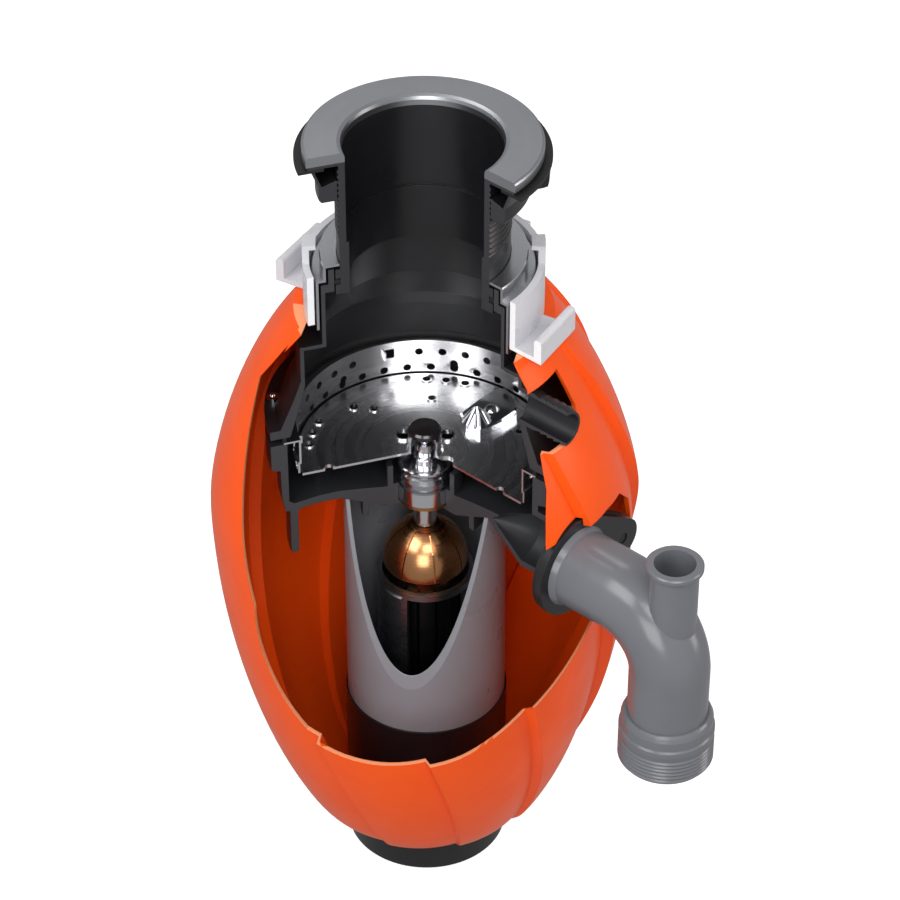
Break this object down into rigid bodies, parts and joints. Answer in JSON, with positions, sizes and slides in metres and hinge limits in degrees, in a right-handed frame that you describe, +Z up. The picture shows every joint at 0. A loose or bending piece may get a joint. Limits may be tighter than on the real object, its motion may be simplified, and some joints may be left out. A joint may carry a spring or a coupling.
{
  "type": "garbage disposal",
  "caption": "Cutaway of a kitchen garbage disposal: threaded sink sleeve, hopper, perforated grind ring, turntable on a motor shaft, drain elbow, foot and swirled egg-shaped casing.",
  "frame": {"origin": "the machine's vertical axis at the bottom of its foot", "axes": "+Z up along the shaft, +X the way the drain outlet points, the display wedge lies between -X-Y and +X"},
  "size_m": [0.2926, 0.2097, 0.4386],
  "materials": {
    "sink_flange_cover": "satin steel",
    "sink_sleeve": "black moulded plastic",
    "neck_o_ring": "black rubber",
    "rim_seal": "black rubber",
    "lock_nut": "black moulded plastic",
    "hopper": "dark grey glass-filled plastic",
    "hopper_seal": "black rubber",
    "chamber_screws": "zinc plated",
    "stamped_cap": "bright zinc plated sheet",
    "mounting_ring": "die-cast",
    "grind_ring": "stainless",
    "turntable": "stainless",
    "swivel_lug": "cast stainless",
    "lug_rivet": "turned",
    "rotor_hub": "turned",
    "hub_cap": "dark",
    "shaft_seal": "grey rubber",
    "top_bearing_races": "ground",
    "top_bearing_balls": "ground",
    "lower_bearing": "sintered bronze",
    "lower_chamber": "die-cast, grey coated",
    "drain_elbow": "grey moulded plastic",
    "elbow_clamp": "dark moulded plastic",
    "bearing_washer": "copper-plated spring steel",
    "outlet_seal": "black rubber",
    "outlet_screw": "blackened",
    "drain_coupler": "grey moulded plastic",
    "motor_foot": "dark moulded plastic",
    "motor_tube": "grey paint",
    "motor_can": "zinc plated steel",
    "field_magnets": "ferrite",
    "brush_card": "phenolic board",
    "brushes": "carbon",
    "brush_springs": "spring steel",
    "armature_core": "laminated steel",
    "upper_windings": "enamelled copper",
    "lower_windings": "enamelled copper",
    "commutator": "copper",
    "rotor_shaft": "ground steel",
    "reset_button": "red",
    "reset_spring": "spring steel",
    "overload_protector": "black moulded",
    "swirl_casing": "glossy orange"
  },
  "bodies": {
    "machine": {"bearing_washer": "bearing_washer", "brush_card": "brush_card", "brush_springs": "brush_springs", "brushes": "brushes", "chamber_screws": "chamber_screws", "drain_coupler": "drain_coupler", "drain_elbow": "drain_elbow", "elbow_clamp": "elbow_clamp", "field_magnets": "field_magnets", "grind_ring": "grind_ring", "hopper": "hopper", "hopper_seal": "hopper_seal", "lower_bearing": "lower_bearing", "lower_chamber": "lower_chamber", "motor_can": "motor_can", "motor_foot": "motor_foot", "motor_tube": "motor_tube", "neck_o_ring": "neck_o_ring", "outlet_screw": "outlet_screw", "outlet_seal": "outlet_seal", "overload_protector": "overload_protector", "reset_spring": "reset_spring", "shaft_seal": "shaft_seal", "sink_flange_cover": "sink_flange_cover", "sink_sleeve": "sink_sleeve", "stamped_cap": "stamped_cap", "swirl_casing": "swirl_casing", "top_bearing_balls": "top_bearing_balls", "top_bearing_races": "top_bearing_races"},
    "rotor": {"rotor_hub": "rotor_hub", "hub_cap": "hub_cap", "turntable": "turntable", "lug_rivet": "lug_rivet", "rotor_shaft": "rotor_shaft", "armature_core": "armature_core", "upper_windings": "upper_windings", "lower_windings": "lower_windings", "commutator": "commutator"},
    "lug": {"swivel_lug": "swivel_lug"},
    "washer": {"rim_seal": "rim_seal"},
    "nut": {"lock_nut": "lock_nut"},
    "bayonet": {"mounting_ring": "mounting_ring"},
    "button": {"reset_button": "reset_button"}
  },
  "joints": [
    {"name": "rotor_spin", "type": "hinge", "parent": "machine", "child": "rotor", "pos_m": [0, 0, 0.2], "axis": [0, 0, 1], "continuous": true},
    {"name": "lug_swing", "type": "hinge", "parent": "rotor", "child": "lug", "pos_m": [0.00697, 0.04304, 0.2558], "axis": [0, 0, 1], "continuous": true},
    {"name": "washer_drop", "type": "slide", "parent": "machine", "child": "washer", "axis": [0, 0, -1], "range_m": [0, 0.018]},
    {"name": "nut_turn", "type": "hinge", "parent": "washer", "child": "nut", "pos_m": [0, 0, 0.42], "axis": [0, 0, -1], "range_deg": [0, 2160]},
    {"name": "bayonet_turn", "type": "hinge", "parent": "machine", "child": "bayonet", "pos_m": [0, 0, 0.357], "axis": [0, 0, 1], "range_deg": [0, 35]},
    {"name": "reset_press", "type": "slide", "parent": "machine", "child": "button", "axis": [0, 0, 1], "range_m": [0, 0.003], "stiffness_N_per_m": 400, "springref_m": -0.0005, "deforming": ["reset_spring"]}
  ],
  "couplings": [
    {"joint": "nut_turn", "follows": "washer_drop", "rad_per_m": 2094.4}
  ]
}
